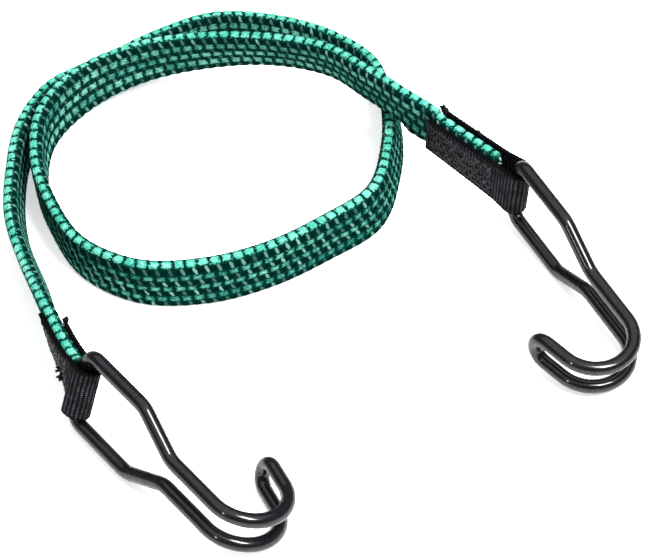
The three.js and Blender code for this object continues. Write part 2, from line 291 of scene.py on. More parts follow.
def sewn_run(end, way):
    """Points, directions and upright directions of the band inside the webbing, from the bar on."""
    x = np.linspace(end["setback"], max(end["legs"]), SEWN_STEPS + 1)
    turn = twist_at(end, x)
    axes = np.array(end_frame(end))[:3, :3]
    upright = np.stack([0 * x, -np.sin(turn), np.cos(turn)], 1)
    along = np.repeat(way * axes[None, :, 0], len(x), 0)
    middle = np.stack([x, 0 * x, 0 * x], 1) + end["slip"] * upright
    return in_room(end, middle), along, upright @ axes.T


def lean_of(along, across):
    level = unit(np.cross(along, UP))
    return math.degrees(math.atan2(across @ level, across @ np.cross(level, along)))


def rest_height(lean):
    upright = (BAND_WIDTH / 2 - BAND_EDGE) * math.cos(lean)
    return upright + (BAND_THICKNESS / 2 - BAND_EDGE) * abs(math.sin(lean)) + BAND_EDGE + TABLE_GAP


def smooth_through(rows):
    """A centripetal curve through rows of x, y, z and lean."""
    rows = np.vstack([2 * rows[0] - rows[1], rows, 2 * rows[-1] - rows[-2]])
    share = np.linspace(0, 1, SPAN_STEPS, endpoint=False)[:, None]
    spans = []
    for a, b, c, d in zip(rows, rows[1:], rows[2:], rows[3:]):
        t0, t1, t2 = (np.linalg.norm((q - p)[:3]) ** 0.5 for p, q in ((a, b), (b, c), (c, d)))
        m1 = ((b - a) / t0 - (c - a) / (t0 + t1) + (c - b) / t1) * t1
        m2 = ((c - b) / t1 - (d - b) / (t1 + t2) + (d - c) / t2) * t1
        spans.append(b + m1 * share + (3 * (c - b) - 2 * m1 - m2) * share ** 2
                     + (2 * (b - c) + m1 + m2) * share ** 3)
    return np.vstack(spans)


def band_run():
    left = sewn_run(LEFT, 1)
    right = [rows[::-1] for rows in sewn_run(RIGHT, -1)]
    rows = [[*left[0][i], lean_of(left[1][i], left[2][i])] for i in (-2, -1)]
    for x, y, climb, lean in ROUTE:
        rows.append([x, y, climb * CROSSING_RISE + rest_height(math.radians(lean)), lean])
    rows += [[*right[0][i], lean_of(right[1][i], right[2][i])] for i in (0, 1)]
    free = smooth_through(np.array(rows, float))[SPAN_STEPS:-SPAN_STEPS]
    along = unit(np.gradient(free[:, :3], axis=0))
    level = unit(np.cross(along, UP))
    lean = np.radians(free[:, 3:])
    across = np.cross(level, along) * np.cos(lean) + level * np.sin(lean)
    point = np.vstack([left[0][:-1], free[:, :3], right[0]])
    return point, np.vstack([left[2][:-1], across, right[2]])


RUN_POINT, RUN_ACROSS = band_run()
RUN_LENGTH = np.concatenate([[0], np.cumsum(np.linalg.norm(np.diff(RUN_POINT, axis=0), axis=1))])
BAND_LENGTH = RUN_LENGTH[-1]


def run_at(lengths):
    """Points and section axes at these lengths along the band: direction, thickness and width."""
    def read(rows):
        return np.stack([np.interp(lengths, RUN_LENGTH, rows[:, k]) for k in range(3)], 1)
    point = read(RUN_POINT)
    along = unit(read(np.gradient(RUN_POINT, RUN_LENGTH, axis=0)))
    across = read(RUN_ACROSS)
    across = unit(across - along * np.sum(along * across, 1, keepdims=True))
    return point, along, np.cross(across, along), across


print("band length", round(BAND_LENGTH, 1), "mm")

# %% [markdown]
# ## The woven cover
# The cover is a tube of nylon yarn in a check: light floats and dark gaps in one row, dark blocks with
# one pale slanting streak in the next, sixteen rows round the band. A texture alone would leave the edge
# of the band smooth, so the floats are raised in the mesh. One formula gives both the height of a point
# and, in the shader, its colour. The cover is a mesh tube with its own UV map: U counts repeats of the
# weave along the band, and V counts rows round it. Where the band bends on its edge, one side is longer
# than the other. There each line round the band counts its own length, and further on the weave squares
# up again. The two cut ends of the cover are pressed flat and sealed.

# %% weave formula
WEAVE_PITCH = 3.75
WEAVE_ROWS = 16
PAIR_SHIFT, STREAK_SHIFT, ROW_SHIFT = 0.5, 0.3, 0.22
EDGE_EVERY, EDGE_SPREAD = WEAVE_ROWS / 2, 0.33
FLOAT_HALF, FLOAT_ROUND, ROW_HALF = 0.35, 0.05, 0.56
STREAK_HALF, STREAK_ROUND, STREAK_SLANT = 0.14, 0.04, 0.25
BLOCK_HEIGHT, STREAK_HEIGHT = 0.75, 0.7
SQUARE_LENGTH = 30.0
RELIEF = 0.36
BURIED = 0.16
POINTS_PER_ROW = 4
STEPS_PER_PITCH = 10


def dome(value, half):
    return np.sqrt(np.maximum(0, 1 - (value / half) ** 2))


def weave_height(repeat, row):
    """Height of the yarn from 0 to 1, at a repeat along the band and a row round it."""
    row = row - EDGE_SPREAD * np.sin(row * 2 * math.pi / EDGE_EVERY)
    nearest = np.floor(row + 0.5)
    side = row - nearest
    odd = nearest % 2
    place = repeat - PAIR_SHIFT * np.floor(nearest / 2) + STREAK_SHIFT * odd
    place = place - np.floor(place + 0.5)
    light = dome(place, FLOAT_HALF + FLOAT_ROUND)
    slanted = place + STREAK_SLANT * side
    block = BLOCK_HEIGHT * dome(0.5 - np.abs(slanted), 0.5 - STREAK_HALF)
    dark = np.maximum(block, STREAK_HEIGHT * dome(slanted, STREAK_HALF + STREAK_ROUND))
    return np.where(odd > 0, dark, light) * dome(side, ROW_HALF)


def rounded_outline(count, depth, width, radius):
    """Points and outward directions evenly round a section, from the middle of its upper edge."""
    straight = (depth - 2 * radius, width - 2 * radius)
    arc = math.pi / 2 * radius
    rim = 2 * sum(straight) + 4 * arc
    points, outward = [], []
    for step in range(count):
        rest = (rim * step / count + straight[0] / 2) % rim
        centre, angle = np.array([-straight[0] / 2, width / 2 - radius]), math.pi / 2
        for side in range(4):
            run = straight[side % 2]
            way = np.array([math.sin(angle), -math.cos(angle)])
            out = np.array([math.cos(angle), math.sin(angle)])
            if rest <= run + arc:
                bend = max(0.0, rest - run) / radius
                centre = centre + way * min(rest, run)
                out = np.array([math.cos(angle - bend), math.sin(angle - bend)])
                break
            rest -= run + arc
            centre = centre + way * run
            angle -= math.pi / 2
        points.append(centre + radius * out)
        outward.append(out)
    return np.array(points), np.array(outward), rim


AROUND = WEAVE_ROWS * POINTS_PER_ROW
OUTLINE, OUTWARD, RIM = rounded_outline(AROUND, BAND_THICKNESS, BAND_WIDTH, BAND_EDGE)


def yarn_lengths():
    """Length along the band for each point of the outline, on a line at that point's own height.

    Over a long way the weave squares up again, so the slow part of the slant is taken out."""
    point, _, _, across = run_at(RUN_LENGTH)
    lines = point[:, None] + across[:, None] * OUTLINE[None, :, 1:]
    ways = np.cumsum(np.linalg.norm(np.diff(lines, axis=0, prepend=lines[:1]), axis=2), axis=0)
    slant = ways * BAND_LENGTH / ways[-1] - RUN_LENGTH[:, None]
    nearby = np.exp(-0.5 * ((RUN_LENGTH[:, None] - RUN_LENGTH[None, :]) / SQUARE_LENGTH) ** 2)
    slow = nearby @ slant / nearby.sum(1)[:, None]
    to_end = np.minimum(RUN_LENGTH, BAND_LENGTH - RUN_LENGTH) / SQUARE_LENGTH
    return RUN_LENGTH[:, None] + slant - slow * np.clip(to_end, 0, 1)[:, None]


YARN_LENGTH = yarn_lengths()
print("weave row", round(RIM / WEAVE_ROWS, 2), "mm high, repeat", WEAVE_PITCH, "mm long")

# %% cover pieces
JACKET_WALL = 0.8
INNER_POINTS = WEAVE_ROWS
FREE_STEPS, LEFT_TAIL_STEPS, RIGHT_TAIL_STEPS = 52, 9, 8
LEFT_SEWN = max(LEFT["legs"]) - LEFT["setback"]
RIGHT_SEWN = max(RIGHT["legs"]) - RIGHT["setback"]
FREE_STEP = (BAND_LENGTH - LEFT_SEWN - RIGHT_SEWN) / FREE_STEPS
LEFT_CUT = LEFT_SEWN + LEFT_TAIL_STEPS * FREE_STEP
RIGHT_CUT = BAND_LENGTH - RIGHT_SEWN - RIGHT_TAIL_STEPS * FREE_STEP
STRETCHES = {"left": (0.0, LEFT_CUT), "loop": (LEFT_CUT, RIGHT_CUT), "right": (RIGHT_CUT, BAND_LENGTH)}
SLOT_EDGE = 0.5
SLOT, _, _ = rounded_outline(
    INNER_POINTS, BAND_THICKNESS - 2 * JACKET_WALL, BAND_WIDTH - 2 * JACKET_WALL, SLOT_EDGE)
SLOT_SHUT = np.array([0.02, 0.9])
SEAL_LENGTH = 2.4
SEALED_DEPTH, SEALED_WIDTH = 0.3, 0.94


def new_piece(name, points, faces):
    """A mesh object at the origin from points in millimetres."""
    mesh = bpy.data.meshes.new(name)
    mesh.from_pydata((np.asarray(points) * MM).tolist(), [], faces)
    piece = bpy.data.objects.new(name, mesh)
    bpy.context.collection.objects.link(piece)
    return piece


def tube_faces(steps, around, first=0, inward=False):
    i, j = np.meshgrid(np.arange(steps), np.arange(around), indexing="ij")
    a = first + i * around + j
    b = first + i * around + (j + 1) % around
    quads = np.stack([a, a + around, b + around, b], -1).reshape(-1, 4)
    return quads[:, ::-1] if inward else quads


def sealed_share(lengths):
    """How far the section has opened, from 0 at a sealed end of the band to 1 a little way in."""
    away = np.minimum(lengths, BAND_LENGTH - lengths) / SEAL_LENGTH
    return np.sqrt(np.clip(away * (2 - away), 0, 1) * (away < 1) + (away >= 1))


def cover_piece(name, begin, end):
    blocks = max(1, round((end - begin) / WEAVE_PITCH))
    steps = blocks * STEPS_PER_PITCH
    lengths = np.linspace(begin, end, steps + 1)
    point, _, depth, across = run_at(lengths)
    repeat = np.stack([np.interp(lengths, RUN_LENGTH, way) for way in YARN_LENGTH.T], 1) / WEAVE_PITCH
    rows = np.arange(AROUND) / POINTS_PER_ROW
    height = RELIEF * weave_height(repeat, rows[None, :] - ROW_SHIFT) - BURIED
    opened = sealed_share(lengths)[:, None, None]
    shut = np.array([SEALED_DEPTH, SEALED_WIDTH])
    flat = (OUTLINE[None] + OUTWARD[None] * height[..., None]) * (shut + (1 - shut) * opened)
    outer = point[:, None] + depth[:, None] * flat[..., :1] + across[:, None] * flat[..., 1:]
    coarse = np.arange(0, steps + 1, STEPS_PER_PITCH)
    slot = SLOT[None] * (SLOT_SHUT + (1 - SLOT_SHUT) * opened[coarse])
    inner = point[coarse, None] + depth[coarse, None] * slot[..., :1]
    inner = inner + across[coarse, None] * slot[..., 1:]
    first = outer.shape[0] * AROUND
    faces = [tube_faces(steps, AROUND), tube_faces(blocks, INNER_POINTS, first, inward=True)]
    ring = np.arange(AROUND)
    near = np.stack([ring, (ring + 1) % AROUND], 1)
    spoke = first + (ring + POINTS_PER_ROW // 2) // POINTS_PER_ROW % INNER_POINTS
    joint = np.flatnonzero(spoke != np.roll(spoke, -1))
    fans = np.column_stack([near, spoke])
    wedges = np.column_stack([spoke[joint], near[joint, 1], np.roll(spoke, -1)[joint]])
    caps = np.vstack([fans, wedges])
    far = caps + np.where(caps < first, steps * AROUND, blocks * INNER_POINTS)
    piece = new_piece(name, np.vstack([outer.reshape(-1, 3), inner.reshape(-1, 3)]),
                      [*faces[0].tolist(), *faces[1].tolist(), *caps.tolist(), *far[:, ::-1].tolist()])
    all_repeat = np.concatenate([repeat.ravel(), np.repeat(lengths[coarse] / WEAVE_PITCH, INNER_POINTS)])
    inner_rows = np.tile(np.arange(INNER_POINTS) + 0.0, blocks + 1)
    all_row = np.concatenate([np.tile(rows, steps + 1), inner_rows])
    corner = np.empty(len(piece.data.loops), np.int64)
    piece.data.loops.foreach_get("vertex_index", corner)
    u, v = all_repeat[corner], all_row[corner]
    size = np.empty(len(piece.data.polygons), np.int64)
    piece.data.polygons.foreach_get("loop_total", size)
    begins = np.concatenate([[0], np.cumsum(size)[:-1]])
    tallest = np.repeat(np.maximum.reduceat(v, begins), size)
    v = np.where((v == 0) & (tallest > WEAVE_ROWS / 2), WEAVE_ROWS, v)
    layer = piece.data.uv_layers.new(name="weave")
    layer.data.foreach_set("uv", np.stack([u, v], 1).ravel())
    piece.data.shade_smooth()
    return piece


covers = {key: cover_piece(f"band_cover_{key}", *span) for key, span in STRETCHES.items()}
for key, cover in covers.items():
    span = STRETCHES[key][1] - STRETCHES[key][0]
    print(cover.name, len(cover.data.polygons), "faces,", round(span, 1), "mm")

# %% [markdown]
# ## The rubber inside
# Under the cover lies a row of rubber strands, which give the cord its stretch. The cut ends of the
# cover are melted shut over them, so plain round tubes along the same curve are enough.

# %% rubber core
STRAND_COUNT = 6
STRAND_RADIUS = 1.0
STRAND_SIDES = 10
STRAND_STEP = 4.0
CORE_INSET = 4.0
STRAND_PITCH = (BAND_WIDTH - 2 * JACKET_WALL) / STRAND_COUNT
STRAND_NODES = [f"rubber_strand_{i + 1}" for i in range(STRAND_COUNT)]


def tubes(name, lines):
    """One piece of round closed tubes: each line has points, two section axes and radii."""
    points, faces, first = [], [], 0
    for path, side, over, radius, sides in lines:
        angle = 2 * math.pi * np.arange(sides) / sides
        ring = side[:, None] * np.cos(angle)[None, :, None] + over[:, None] * np.sin(angle)[None, :, None]
        points.append((path[:, None] + ring * np.reshape(radius, (-1, 1, 1))).reshape(-1, 3))
        faces += tube_faces(len(path) - 1, sides, first, inward=True).tolist()
        last = first + (len(path) - 1) * sides
        faces += [list(range(first, first + sides)), list(range(last, last + sides))[::-1]]
        first += len(path) * sides
    piece = new_piece(name, np.vstack(points), faces)
    piece.data.shade_smooth()
    return piece


def core_piece(name, begin, end):
    begin, end = max(begin, CORE_INSET), min(end, BAND_LENGTH - CORE_INSET)
    lengths = np.linspace(begin, end, max(2, round((end - begin) / STRAND_STEP)))
    point, _, depth, across = run_at(lengths)
    lines = []
    for k in range(STRAND_COUNT):
        offset = (k + 0.5 - STRAND_COUNT / 2) * STRAND_PITCH
        radius = np.full(len(point), STRAND_RADIUS)
        lines.append((point + across * offset, depth, across, radius, STRAND_SIDES))
    return tubes(name, lines)


cores = {key: core_piece(f"rubber_core_{key}", *span) for key, span in STRETCHES.items()}
print("rubber core in", len(cores), "stretches of", STRAND_COUNT, "strands")

# %% [markdown]
# ## Riding
# The turn of the band rides on the band's own body. The stretch at each end leads from the turn to the
# webbing, which slides off when the cord is pulled; it is baked in place and rides on no body.

# %% what the stretches ride on
PATH_POINTS = 40


def bind_stretch(key, body, webbing_end):
    begin, end = STRETCHES[key]
    cover, core = covers[key], cores[key]
    path = run_at(np.linspace(begin, end, PATH_POINTS))[0] * MM
    if body:
        fixed = begin if key == "right" else end
        for piece in (cover, core):
            tuple(run_at(np.array([fixed]))[0][0] * MM)
            tuple(run_at(np.array([webbing_end]))[0][0] * MM)
            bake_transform(piece)
    else:
        for piece in (cover, core):
            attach(piece, "band")
    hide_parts("band_loop" if key == "loop" else f"band_{key}_tail")
    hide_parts(*STRAND_NODES)
    (end - begin) * MM


bind_stretch("left", "left_end", LEFT_SEWN)
bind_stretch("loop", None, None)
bind_stretch("right", "right_end", BAND_LENGTH - RIGHT_SEWN)

# %% [markdown]
# ## The finish of the weave
# The shader finds, from the UV map, the row and the place in the repeat, just as the relief did. Noise
# first pushes both about a little, because no yarn lies straight. Then it mixes light floats, dark green
# gaps, deeper green blocks and pale slanting streaks; the brightest streaks are a painted glint on the
# crossing yarns. Every float has its own shade and its own fibres. The rows on the band's two edges are
# wider and paler: part of the paleness is their own yarn, and part is painted light from above on the top
# edge. On the inside of the turn the streaks are fainter and the blocks less deep.

# %% place in the weave
INNER_SPREAD = 0.14
REPEAT_WANDER, ROW_WANDER = 0.16, 0.3

weave_finish, start, inputs = finish("woven_green", {"Specular IOR Level": 0.0})
uv = start.node("ShaderNodeUVMap", {"uv_map": "weave"})
length = start.node("ShaderNodeSeparateXYZ", (), {0: uv}, output="X")
lane = start.node("ShaderNodeSeparateXYZ", (), {0: uv}, output="Y") - ROW_SHIFT


def speckle(along, across, detail):
    """Noise on the weave's own map, with so many cells in a repeat and in a row."""
    place = start.node("ShaderNodeCombineXYZ", (), {0: length * along, 1: lane * across})
    noise = {"Vector": place, "Scale": 1.0, "Detail": detail}
    return start.node("ShaderNodeTexNoise", (), noise, output="Fac")


repeat = length + REPEAT_WANDER * (speckle(2.3, 1.7, 1.0) - 0.5)
inner = abs(lane - 1.5 * EDGE_EVERY).fade(2.2, 2.9, 1.0, 0.0)
row = lane - EDGE_SPREAD * (lane * (2 * math.pi / EDGE_EVERY)).sine()
bunched = INNER_SPREAD * inner * (row * math.pi).sine()
row = row + ROW_WANDER * (speckle(3.1, 1.3, 1.0) - 0.5) - bunched
nearest = (row + 0.5).floor()
side = row - nearest
odd = nearest % 2
shifted = repeat - PAIR_SHIFT * (0.5 * nearest).floor() + STREAK_SHIFT * odd
count = (shifted + 0.5).floor()
place = shifted - count
print("row and place in the repeat, read from the UV map")

# %% floats, blocks and streaks
STRANDS_PER_ROW = 4
STREAK_REACH = 0.55
RAGGED = 0.2
END_REPEAT = BAND_LENGTH / WEAVE_PITCH

own = start.node("ShaderNodeCombineXYZ", (), {0: count, 1: nearest})
chance = start.node(
    "ShaderNodeTexWhiteNoise", {"noise_dimensions": "2D"}, {"Vector": own}, output="Value")
fibre, mottle = speckle(5.0, 14.0, 2.0), speckle(4.6, 2.4, 3.0).fade(0.36, 0.64)
drift = speckle(0.13, 0.4, 1.0).fade(0.36, 0.64)
ragged = RAGGED * (mottle - 0.5)
edge = abs((lane + EDGE_EVERY / 2) % EDGE_EVERY - EDGE_EVERY / 2).fade(0.6, 1.2, 1.0, 0.0)
long = abs(place) + ragged - 0.04 * edge - 0.02 * inner
high = abs(side) + ragged - 0.02 * edge - 0.04 * inner
light = long.fade(FLOAT_HALF - 0.09, FLOAT_HALF + 0.02, 1.0, 0.0) * high.fade(0.24, 0.46, 1.0, 0.0)
slanted = (place + STREAK_SLANT * side) * (1 / STREAK_HALF)
tall = side * (1 / STREAK_REACH)
streak = (slanted * slanted + tall * tall).fade(0.3, 1.5, 1.0, 0.0)
# painted glint: chance makes a few streaks bright, as where taut crossing yarns catch the light
streak = streak * (1.0 - 0.65 * inner) * (0.1 + 0.48 * chance * chance)
strand = ((side * STRANDS_PER_ROW + place * 1.2 + 0.5 * chance) * (2 * math.pi)).sine()
glint = 0.04 + 0.14 * strand + 0.62 * mottle + 0.4 * (fibre - 0.5)
glint = glint + 0.34 * (chance - 0.5) + 0.36 * (drift - 0.5)
hollow = (abs(side) + ragged).fade(0.28, 0.52, 1.0, 0.0) * abs(place).fade(0.15, 0.31)
hollow = hollow * (1.0 - 0.7 * inner) * (0.9 + 0.4 * (chance - 0.5))
seal = length.fade(0.05, 0.25, 1.0, 0.0) + length.fade(END_REPEAT - 0.7, END_REPEAT - 0.2)
print("shares of float, streak, block and seal")

# %% weave finish
FACE_YARN, FACE_GLINT = colour(12, 80, 68), colour(100, 172, 154)
INNER_YARN, INNER_GLINT = colour(30, 94, 81), colour(118, 184, 167)
# edge row colours: partly their own paler yarn, partly painted light from above on the top edge
LIT_EDGE_YARN, LIT_EDGE_GLINT = colour(48, 144, 123), colour(124, 200, 180)
DARK_YARN, DEEP_YARN = colour(2, 37, 31), colour(1, 24, 20)
# the pale streak colour is partly the crossing yarn and partly a painted glint
STREAK_YARN_GLINT = colour(132, 188, 174)

face = inner.tint(glint.tint(FACE_YARN, FACE_GLINT), glint.tint(INNER_YARN, INNER_GLINT))
# painted light: the paler edge colour stands in part for light from above on the top edge
bright = edge.tint(face, glint.tint(LIT_EDGE_YARN, LIT_EDGE_GLINT))
block = streak.tint(hollow.tint(DARK_YARN, DEEP_YARN), STREAK_YARN_GLINT)
cloth = odd.tint(light.tint(DARK_YARN, bright), block)
feed(start, inputs, {
    "Base Color": (seal * 0.85).tint(cloth, DARK_YARN),
    "Roughness": fibre.fade(0.2, 0.8, 0.55, 0.8),
    "Normal": bumped(start, 0.6, 0.0002, 0.5 * strand + 0.8 * fibre + 0.5 * mottle),
})
for cover in covers.values():
    cover.data.materials.append(weave_finish)
print("weave finish on", len(covers), "pieces")

# %% [markdown]
# ## The finish of the rubber
# Natural rubber thread is a pale tan and dusted with talc, so it is matte and a little uneven.

# %% rubber finish
rubber_finish, start, inputs = finish("strand_rubber", {"Specular IOR Level": 0.3})
dust = grain(start, 900.0, 3.0)
feed(start, inputs, {
    "Base Color": dust.tint(colour(196, 178, 144), colour(222, 210, 184)),
    "Roughness": dust.fade(0.2, 0.8, 0.6, 0.9),
})
for core in cores.values():
    core.data.materials.append(rubber_finish)
print("rubber finish")

# %% [markdown]
# ## The coated hook
# The hook is one round wire, bent in a plan that is the same on both halves. By hand it is a ring that
# is extruded along the straights and spun round the bends, and a mirror gives the second half. That is
# smoother than the solid's ten-sided coat, and each bend stays a true arc.

# %% hook sizes
COAT_RADIUS = 2.25
FRAME_SPAN, FRAME_LEG, NECK_LENGTH = 26.0, 26.2, 15.4
TWIN_SPACING, SHANK_LENGTH = 9.6, 20.0
HOOK_BEND, HOOK_TURN, TIP_LENGTH = 12.4, 165.0, 7.2
CORNER_RADIUS, KINK_RADIUS = 4.2, 9.0
COAT_SIDES = 28
CORNER_STEPS, KINK_STEPS, HOOK_STEPS, TIP_STEPS = 12, 8, 32, 14
MIRROR_GAP, MERGE_GAP = 0.01, 0.001


def select_none():
    if bpy.context.mode != "OBJECT":
        bpy.ops.object.mode_set(mode="OBJECT")
    bpy.ops.object.select_all(action="DESELECT")


def draw_on(vector):
    bpy.ops.mesh.extrude_region_move(TRANSFORM_OT_translate={"value": tuple(Vector(vector) * MM)})


def spin_on(centre, axis, degrees, steps):
    bpy.ops.mesh.spin(steps=steps, angle=-math.radians(degrees), center=tuple(Vector(centre) * MM),
                      axis=tuple(axis), dupli=False)


def coat_piece(end):
    select_none()
    bpy.ops.mesh.primitive_circle_add(
        vertices=COAT_SIDES, radius=COAT_RADIUS * MM, location=(0, 0, 0))
    piece = bpy.context.object
    piece.name = f"{end['side']}_hook_vinyl"
    bpy.ops.object.mode_set(mode="EDIT")
    bpy.ops.mesh.select_all(action="SELECT")
    span, twin, bend = FRAME_SPAN / 2, TWIN_SPACING / 2, end["bend"]
    draw_on((0, 0, span - CORNER_RADIUS))
    spin_on((CORNER_RADIUS, 0, span - CORNER_RADIUS), (0, 1, 0), 90, CORNER_STEPS)
    kink = math.atan2(span - twin, NECK_LENGTH)
    trim = KINK_RADIUS * math.tan(kink / 2)
    draw_on((FRAME_LEG - CORNER_RADIUS - trim, 0, 0))
    spin_on((FRAME_LEG - trim, 0, span - KINK_RADIUS), (0, 1, 0), math.degrees(kink), KINK_STEPS)
    slope = math.hypot(NECK_LENGTH, span - twin) - 2 * trim
    draw_on((slope * math.cos(kink), 0, -slope * math.sin(kink)))
    neck_end = FRAME_LEG + NECK_LENGTH
    spin_on((neck_end + trim, 0, twin + KINK_RADIUS), (0, 1, 0), -math.degrees(kink), KINK_STEPS)
    draw_on((SHANK_LENGTH - trim, 0, 0))
    shank_end = neck_end + SHANK_LENGTH
    spin_on((shank_end, bend * HOOK_BEND, twin), (0, 0, 1), bend * HOOK_TURN, HOOK_STEPS)
    turn = math.radians(HOOK_TURN)
    way = Vector((math.cos(turn), bend * math.sin(turn), 0))
    draw_on(way * TIP_LENGTH)
    sideways = bend * HOOK_BEND * (1 - math.cos(turn))
    foot = Vector((shank_end + HOOK_BEND * math.sin(turn), sideways, 0))
    spin_on(foot + way * TIP_LENGTH, Vector((0, 0, 1)).cross(way), 90, TIP_STEPS)
    bpy.ops.object.mode_set(mode="OBJECT")
    mirror = piece.modifiers.new("second half", "MIRROR")
    mirror.use_axis = (False, False, True)
    mirror.merge_threshold = MIRROR_GAP * MM
    bpy.ops.object.modifier_apply(modifier=mirror.name)
    bpy.ops.object.mode_set(mode="EDIT")
    bpy.ops.mesh.select_all(action="SELECT")
    bpy.ops.mesh.remove_doubles(threshold=MERGE_GAP * MM)
    bpy.ops.mesh.normals_make_consistent(inside=False)
    bpy.ops.object.mode_set(mode="OBJECT")
    bpy.ops.object.shade_smooth()
    swing = Matrix.Rotation(math.pi + math.radians(end["swing"]), 4, "Z")
    room = end_frame(end)
    room.translation *= MM
    piece.matrix_world = room @ swing
    bpy.ops.object.transform_apply(location=True, rotation=True, scale=True)
    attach(piece, f"{end['side']}_hook")
    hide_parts(f"{end['side']}_hook_coat")
    return piece


coats = [coat_piece(end) for end in (LEFT, RIGHT)]
for coat in coats:
    print(coat.name, len(coat.data.polygons), "faces")

# %% [markdown]
# ## Vinyl and steel
# The coat is dipped vinyl: black, glossy, and not quite even, because it runs a little as it sets. The
# steel inside keeps its solid and gets a drawn finish, with fine lines and a low sheen.

# %% vinyl and steel finishes
vinyl_finish, start, inputs = finish("dipped_vinyl", {
    "Specular IOR Level": 0.1, "Coat Roughness": 0.06, "Coat IOR": 2.0})
runs, scuff = grain(start, 160.0), grain(start, 700.0, 4.0)
feed(start, inputs, {
    "Base Color": runs.tint(colour(5, 5, 8), colour(12, 12, 17)),
    "Roughness": scuff.fade(0.35, 0.75, 0.26, 0.4),
    "Coat Weight": scuff.fade(0.4, 0.7, 0.22, 0.16),
    "Normal": bumped(start, 0.25, 0.0003, runs),
})
for coat in coats:
    coat.data.materials.append(vinyl_finish)

steel_finish, start, inputs = finish("drawn_steel", {"Metallic": 1.0})
lines = grain(start, 1500.0, 3.0)
feed(start, inputs, {
    "Base Color": lines.tint(colour(150, 152, 155), colour(190, 192, 196)),
    "Roughness": lines.fade(0.3, 0.7, 0.25, 0.45),
})
for side in ("left", "right"):
    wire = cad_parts[f"{side}_hook_wire"]
    wire.data.materials.clear()
    wire.data.materials.append(steel_finish)
print("vinyl on", len(coats), "coats, steel on the wires inside them")

# %% [markdown]
# ## The folded webbing
# A short piece of ribbed webbing is folded round the hook's bar, and its two legs are sewn to the faces
# of the band. It starts as a flat grid of the webbing's own length and width, is laid round the bar in
# code, and gets its thickness from a Solidify modifier that a vertex group makes thicker on each rib.

# %% webbing
WEBBING_WIDTH, WEBBING_THICKNESS = 18.0, 1.1
LEG_PLAY = 0.3
LEG_GAP = BAND_THICKNESS / 2 + LEG_PLAY + WEBBING_THICKNESS / 2
RIB_PITCH = 1.25
RIB_STEPS = 6
WEBBING_LANES = 24
YARNS_ACROSS = 20
FOLD_STEPS, LEG_STEPS = 40, 23
RIB_SWELL, RIB_VALLEY = 0.1, 0.8
CUT_SLANT = {"left": (0.6, -0.8), "right": (2.0, 0.5)}


def fold_line(end):
    """The middle line of the folded webbing, from one cut end round the bar to the other."""
    radius = COAT_RADIUS + end["slack"] + WEBBING_THICKNESS / 2
    arc = np.radians(np.linspace(90, 270, FOLD_STEPS + 1))
    bow = radius * np.stack([np.cos(arc), np.sin(arc)], 1)
    share = np.linspace(0, 1, LEG_STEPS + 1)[1:, None]
    ease = share * share * (3 - 2 * share)
    lead = np.hstack([share * end["setback"], LEG_GAP + (radius - LEG_GAP) * (1 - ease)])
    sides = []
    for leg in end["legs"]:
        x = np.linspace(end["setback"], leg, LEG_STEPS + 1)[1:]
        sides.append(np.vstack([lead, np.stack([x, np.full(LEG_STEPS, LEG_GAP)], 1)]))
    return np.vstack([sides[0][::-1], bow, sides[1] * (1, -1)])


def warp(end, points):
    """Sets each leg off along the bar, as the fold is not quite square, and twists the whole end."""
    x, y = points[:, 0], points[:, 1]
    z = points[:, 2] + end["slip"] - end["skew"] / LEG_GAP * y
    turn = twist_at(end, x)
    cosine, sine = np.cos(turn), np.sin(turn)
    return np.stack([x, y * cosine - z * sine, y * sine + z * cosine], 1)


def webbing_piece(end):
    line = fold_line(end)
    way = np.concatenate([[0], np.cumsum(np.linalg.norm(np.diff(line, axis=0), axis=1))])
    ribs = round(way[-1] / RIB_PITCH)
    select_none()
    bpy.ops.mesh.primitive_grid_add(
        x_subdivisions=ribs * RIB_STEPS, y_subdivisions=WEBBING_LANES, size=1)
    piece = bpy.context.object
    piece.name = f"{end['side']}_webbing_strip"
    flat = np.array([v.co[:] for v in piece.data.vertices])
    share, lane = flat[:, 0] + 0.5, flat[:, 1]
    slant = np.array(CUT_SLANT[end["side"]])
    pull = lane * np.where(share < 0.5, slant[0], slant[1]) * np.abs(2 * share - 1) ** 3
    reach = np.clip(share * way[-1] + np.where(share < 0.5, pull, -pull), -2, way[-1] + 2)
    x = np.interp(reach, way, line[:, 0]) + np.maximum(0, -reach) + np.maximum(0, reach - way[-1])
    y = np.interp(reach, way, line[:, 1])
    wavy = 0.12 * np.sin(reach * 1.9) + 0.08 * np.sin(reach * 4.3 + 1)
    z = lane * (WEBBING_WIDTH + np.abs(lane) * wavy)
    place = in_room(end, warp(end, np.stack([x, y, z], 1))) * MM
    piece.data.vertices.foreach_set("co", place.ravel())
    rib = piece.vertex_groups.new(name="ribs")
    swell = np.sqrt(np.abs(np.sin(math.pi * share * ribs)))
    for index, value in enumerate(swell):
        rib.add([index], float(value), "REPLACE")
    wall = piece.modifiers.new("thickness", "SOLIDIFY")
    wall.thickness = (WEBBING_THICKNESS + RIB_SWELL) * MM
    wall.offset = 0
    wall.vertex_group = rib.name
    wall.thickness_vertex_group = RIB_VALLEY
    bpy.ops.object.modifier_apply(modifier=wall.name)
    piece.vertex_groups.clear()
    layer = piece.data.uv_layers.active.data
    cloth = np.empty(2 * len(layer))
    layer.foreach_get("uv", cloth)
    layer.foreach_set("uv", (cloth.reshape(-1, 2) * (ribs, YARNS_ACROSS)).ravel())
    bpy.ops.object.shade_smooth_by_angle(angle=math.radians(50))
    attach(piece, f"{end['side']}_end")
    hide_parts(f"{end['side']}_webbing")
    return piece, way[-1]


strips = [webbing_piece(end) for end in (LEFT, RIGHT)]
for strip, length in strips:
    print(strip.name, round(length, 1), "mm of webbing,", len(strip.data.polygons), "faces")
